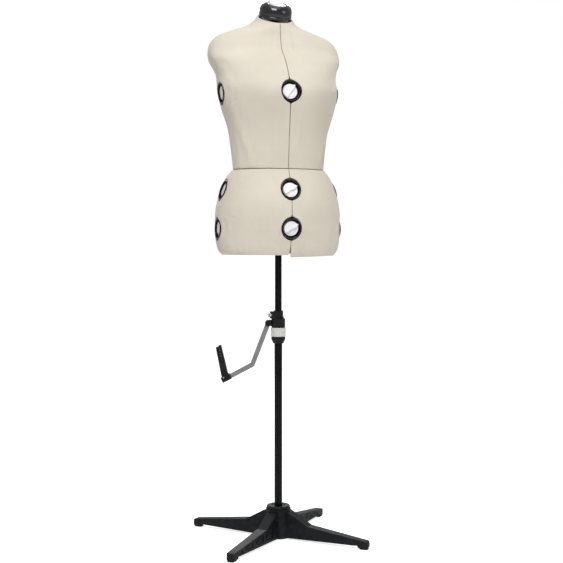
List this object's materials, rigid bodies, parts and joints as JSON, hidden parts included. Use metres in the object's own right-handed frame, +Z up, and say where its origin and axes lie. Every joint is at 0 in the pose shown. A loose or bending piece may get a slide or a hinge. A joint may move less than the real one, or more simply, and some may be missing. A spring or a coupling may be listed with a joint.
{
  "type": "adjustable dress form",
  "caption": "Adjustable female dress form in cream fabric panels with seam dials, on a black height-adjustable pole with a hem marker and a four-leg base.",
  "frame": {"origin": "on the floor, on the axis of the pole", "axes": "+Z up along the pole, the form faces -Y, -X is the left of the picture as seen from the front"},
  "size_m": [0.405, 0.405, 1.5223],
  "materials": {
    "leg_plastic": "satin",
    "steel": "bright",
    "arm_steel": "zinc plated",
    "rubber": "matt",
    "tube_black": "satin powder coat",
    "nylon": "satin",
    "fabric": "woven cover over foam and moulded shell",
    "dial_white": "gloss",
    "gloss_black": "gloss",
    "frame_black": "matt",
    "fitting_black": "satin"
  },
  "bodies": {
    "stand": {"base_hub": "leg_plastic", "hub_collar": "leg_plastic", "leg_screws": "steel", "foot_pads": "rubber", "lower_tube": "tube_black", "tube_ferrule": "fitting_black", "lock_housing": "fitting_black", "leg_front_right": "leg_plastic", "leg_back_right": "leg_plastic", "leg_back_left": "leg_plastic", "leg_front_left": "leg_plastic"},
    "clamp_ring": {"clamp_ring": "nylon"},
    "lock_plunger": {"lock_plunger": "steel"},
    "hem_collar": {"hem_collar": "fitting_black"},
    "hem_arm": {"hem_arm": "arm_steel", "clip_body": "fitting_black", "clip_hinge_pin": "steel"},
    "hem_arm_knob": {"hem_arm_knob": "fitting_black"},
    "clip_jaw": {"clip_jaw": "fitting_black"},
    "pole_upper": {"upper_tube": "tube_black", "lower_frame": "frame_black"},
    "upper_section": {"upper_frame": "frame_black", "neck_cap": "gloss_black"},
    "neck_dial": {"neck_dial": "dial_white"},
    "lower_strut_front": {"lower_strut_front": "frame_black"},
    "lower_strut_right": {"lower_strut_right": "frame_black"},
    "lower_strut_back": {"lower_strut_back": "frame_black"},
    "lower_strut_left": {"lower_strut_left": "frame_black"},
    "lower_panel_front_right": {"lower_panel_front_right": "fabric", "lower_racks_front_right": "nylon"},
    "lower_panel_back_right": {"lower_panel_back_right": "fabric", "lower_racks_back_right": "nylon"},
    "lower_panel_back_left": {"lower_panel_back_left": "fabric", "lower_racks_back_left": "nylon"},
    "lower_panel_front_left": {"lower_panel_front_left": "fabric", "lower_racks_front_left": "nylon"},
    "waist_dial_front": {"waist_dial_front": "dial_white"},
    "waist_dial_right": {"waist_dial_right": "dial_white"},
    "waist_dial_back": {"waist_dial_back": "dial_white"},
    "waist_dial_left": {"waist_dial_left": "dial_white"},
    "hip_dial_front": {"hip_dial_front": "dial_white"},
    "hip_dial_right": {"hip_dial_right": "dial_white"},
    "hip_dial_back": {"hip_dial_back": "dial_white"},
    "hip_dial_left": {"hip_dial_left": "dial_white"},
    "upper_strut_front": {"upper_strut_front": "frame_black"},
    "upper_strut_right": {"upper_strut_right": "frame_black"},
    "upper_strut_back": {"upper_strut_back": "frame_black"},
    "upper_strut_left": {"upper_strut_left": "frame_black"},
    "upper_panel_front_right": {"upper_panel_front_right": "fabric", "upper_racks_front_right": "nylon"},
    "upper_panel_back_right": {"upper_panel_back_right": "fabric", "upper_racks_back_right": "nylon"},
    "upper_panel_back_left": {"upper_panel_back_left": "fabric", "upper_racks_back_left": "nylon"},
    "upper_panel_front_left": {"upper_panel_front_left": "fabric", "upper_racks_front_left": "nylon"},
    "bust_dial_front": {"bust_dial_front": "dial_white"},
    "bust_dial_right": {"bust_dial_right": "dial_white"},
    "bust_dial_back": {"bust_dial_back": "dial_white"},
    "bust_dial_left": {"bust_dial_left": "dial_white"}
  },
  "joints": [
    {"name": "clamp_ring_twist", "type": "hinge", "parent": "stand", "child": "clamp_ring", "pos_m": [0, 0, 0.5815], "axis": [0, 0, 1], "range_deg": [0, 60]},
    {"name": "lock_plunger_pull", "type": "slide", "parent": "stand", "child": "lock_plunger", "axis": [-0.9613, -0.2756, 0], "range_m": [0, 0.008], "stiffness_N_per_m": 300},
    {"name": "hem_collar_turn", "type": "hinge", "parent": "stand", "child": "hem_collar", "pos_m": [0, 0, 0.607], "axis": [0, 0, 1], "continuous": true},
    {"name": "hem_arm_swing", "type": "hinge", "parent": "hem_collar", "child": "hem_arm", "pos_m": [-0.02711, 0.00881, 0.607], "axis": [0.309, 0.9511, 0], "range_deg": [-12, 45]},
    {"name": "hem_arm_knob_turn", "type": "hinge", "parent": "hem_collar", "child": "hem_arm_knob", "pos_m": [-0.02711, 0.00881, 0.607], "axis": [-0.309, -0.9511, 0], "range_deg": [0, 180]},
    {"name": "clip_jaw_open", "type": "hinge", "parent": "hem_arm", "child": "clip_jaw", "pos_m": [-0.14652, 0.04761, 0.45391], "axis": [-0.309, -0.9511, 0], "range_deg": [0, 35]},
    {"name": "pole_height", "type": "slide", "parent": "stand", "child": "pole_upper", "axis": [0, 0, 1], "range_m": [-0.12, 0.1]},
    {"name": "lower_depth", "type": "slide", "parent": "pole_upper", "child": "lower_strut_front", "axis": [0, -1, 0], "range_m": [0, 0.02]},
    {"name": "lower_width", "type": "slide", "parent": "pole_upper", "child": "lower_strut_right", "axis": [1, 0, 0], "range_m": [0, 0.02]},
    {"name": "lower_back_slide", "type": "slide", "parent": "pole_upper", "child": "lower_strut_back", "axis": [0, 1, 0], "range_m": [0, 0.02]},
    {"name": "lower_left_slide", "type": "slide", "parent": "pole_upper", "child": "lower_strut_left", "axis": [-1, 0, 0], "range_m": [0, 0.02]},
    {"name": "lower_front_right_slide", "type": "slide", "parent": "lower_strut_right", "child": "lower_panel_front_right", "axis": [0, -1, 0], "range_m": [0, 0.02]},
    {"name": "lower_back_right_slide", "type": "slide", "parent": "lower_strut_right", "child": "lower_panel_back_right", "axis": [0, 1, 0], "range_m": [0, 0.02]},
    {"name": "lower_back_left_slide", "type": "slide", "parent": "lower_strut_left", "child": "lower_panel_back_left", "axis": [0, 1, 0], "range_m": [0, 0.02]},
    {"name": "lower_front_left_slide", "type": "slide", "parent": "lower_strut_left", "child": "lower_panel_front_left", "axis": [0, -1, 0], "range_m": [0, 0.02]},
    {"name": "waist_dial_front_turn", "type": "hinge", "parent": "lower_strut_front", "child": "waist_dial_front", "pos_m": [0, -0.11273, 0.98], "axis": [0, -0.9567, 0.2909], "range_deg": [-116, 1]},
    {"name": "waist_dial_right_turn", "type": "hinge", "parent": "lower_strut_right", "child": "waist_dial_right", "pos_m": [0.16325, 0, 0.98], "axis": [0.9506, 0, 0.3106], "range_deg": [-116, 1]},
    {"name": "waist_dial_back_turn", "type": "hinge", "parent": "lower_strut_back", "child": "waist_dial_back", "pos_m": [0, 0.12025, 0.98], "axis": [0, 0.9493, 0.3143], "range_deg": [-116, 1]},
    {"name": "waist_dial_left_turn", "type": "hinge", "parent": "lower_strut_left", "child": "waist_dial_left", "pos_m": [-0.16325, 0, 0.98], "axis": [-0.9506, 0, 0.3106], "range_deg": [-116, 1]},
    {"name": "hip_dial_front_turn", "type": "hinge", "parent": "lower_strut_front", "child": "hip_dial_front", "pos_m": [0, -0.119, 0.872], "axis": [0, -0.9931, -0.1174], "range_deg": [-116, 1]},
    {"name": "hip_dial_right_turn", "type": "hinge", "parent": "lower_strut_right", "child": "hip_dial_right", "pos_m": [0.1779, 0, 0.872], "axis": [1, 0, 0.009], "range_deg": [-116, 1]},
    {"name": "hip_dial_back_turn", "type": "hinge", "parent": "lower_strut_back", "child": "hip_dial_back", "pos_m": [0, 0.131, 0.872], "axis": [0, 0.9943, -0.1063], "range_deg": [-116, 1]},
    {"name": "hip_dial_left_turn", "type": "hinge", "parent": "lower_strut_left", "child": "hip_dial_left", "pos_m": [-0.1779, 0, 0.872], "axis": [-1, 0, 0.009], "range_deg": [-116, 1]},
    {"name": "waist_length", "type": "slide", "parent": "pole_upper", "child": "upper_section", "axis": [0, 0, 1], "range_m": [0, 0.02]},
    {"name": "upper_depth", "type": "slide", "parent": "upper_section", "child": "upper_strut_front", "axis": [0, -1, 0], "range_m": [0, 0.02]},
    {"name": "upper_width", "type": "slide", "parent": "upper_section", "child": "upper_strut_right", "axis": [1, 0, 0], "range_m": [0, 0.02]},
    {"name": "upper_back_slide", "type": "slide", "parent": "upper_section", "child": "upper_strut_back", "axis": [0, 1, 0], "range_m": [0, 0.02]},
    {"name": "upper_left_slide", "type": "slide", "parent": "upper_section", "child": "upper_strut_left", "axis": [-1, 0, 0], "range_m": [0, 0.02]},
    {"name": "upper_front_right_slide", "type": "slide", "parent": "upper_strut_right", "child": "upper_panel_front_right", "axis": [0, -1, 0], "range_m": [0, 0.02]},
    {"name": "upper_back_right_slide", "type": "slide", "parent": "upper_strut_right", "child": "upper_panel_back_right", "axis": [0, 1, 0], "range_m": [0, 0.02]},
    {"name": "upper_back_left_slide", "type": "slide", "parent": "upper_strut_left", "child": "upper_panel_back_left", "axis": [0, 1, 0], "range_m": [0, 0.02]},
    {"name": "upper_front_left_slide", "type": "slide", "parent": "upper_strut_left", "child": "upper_panel_front_left", "axis": [0, -1, 0], "range_m": [0, 0.02]},
    {"name": "bust_dial_front_turn", "type": "hinge", "parent": "upper_strut_front", "child": "bust_dial_front", "pos_m": [0, -0.11082, 1.247], "axis": [0, -0.9948, 0.102], "range_deg": [-116, 1]},
    {"name": "bust_dial_right_turn", "type": "hinge", "parent": "upper_strut_right", "child": "bust_dial_right", "pos_m": [0.16878, 0, 1.247], "axis": [0.9906, 0, -0.1369], "range_deg": [-116, 1]},
    {"name": "bust_dial_back_turn", "type": "hinge", "parent": "upper_strut_back", "child": "bust_dial_back", "pos_m": [0, 0.11773, 1.247], "axis": [0, 0.9915, -0.1303], "range_deg": [-116, 1]},
    {"name": "bust_dial_left_turn", "type": "hinge", "parent": "upper_strut_left", "child": "bust_dial_left", "pos_m": [-0.16878, 0, 1.247], "axis": [-0.9906, 0, -0.1369], "range_deg": [-116, 1]},
    {"name": "neck_dial_turn", "type": "hinge", "parent": "upper_section", "child": "neck_dial", "pos_m": [0, 0.01293, 1.50799], "axis": [0, -0.4695, 0.8829], "range_deg": [-91, 1]}
  ],
  "couplings": [
    {"joint": "lower_back_slide", "follows": "lower_depth", "ratio": 1},
    {"joint": "lower_left_slide", "follows": "lower_width", "ratio": 1},
    {"joint": "lower_front_right_slide", "follows": "lower_depth", "ratio": 1},
    {"joint": "lower_back_right_slide", "follows": "lower_depth", "ratio": 1},
    {"joint": "lower_back_left_slide", "follows": "lower_depth", "ratio": 1},
    {"joint": "lower_front_left_slide", "follows": "lower_depth", "ratio": 1},
    {"joint": "waist_dial_front_turn", "follows": "lower_width", "rad_per_m": -100},
    {"joint": "waist_dial_right_turn", "follows": "lower_depth", "rad_per_m": -100},
    {"joint": "waist_dial_back_turn", "follows": "lower_width", "rad_per_m": -100},
    {"joint": "waist_dial_left_turn", "follows": "lower_depth", "rad_per_m": -100},
    {"joint": "hip_dial_front_turn", "follows": "lower_width", "rad_per_m": -100},
    {"joint": "hip_dial_right_turn", "follows": "lower_depth", "rad_per_m": -100},
    {"joint": "hip_dial_back_turn", "follows": "lower_width", "rad_per_m": -100},
    {"joint": "hip_dial_left_turn", "follows": "lower_depth", "rad_per_m": -100},
    {"joint": "upper_back_slide", "follows": "upper_depth", "ratio": 1},
    {"joint": "upper_left_slide", "follows": "upper_width", "ratio": 1},
    {"joint": "upper_front_right_slide", "follows": "upper_depth", "ratio": 1},
    {"joint": "upper_back_right_slide", "follows": "upper_depth", "ratio": 1},
    {"joint": "upper_back_left_slide", "follows": "upper_depth", "ratio": 1},
    {"joint": "upper_front_left_slide", "follows": "upper_depth", "ratio": 1},
    {"joint": "bust_dial_front_turn", "follows": "upper_width", "rad_per_m": -100},
    {"joint": "bust_dial_right_turn", "follows": "upper_depth", "rad_per_m": -100},
    {"joint": "bust_dial_back_turn", "follows": "upper_width", "rad_per_m": -100},
    {"joint": "bust_dial_left_turn", "follows": "upper_depth", "rad_per_m": -100},
    {"joint": "neck_dial_turn", "follows": "upper_width", "rad_per_m": -75}
  ]
}
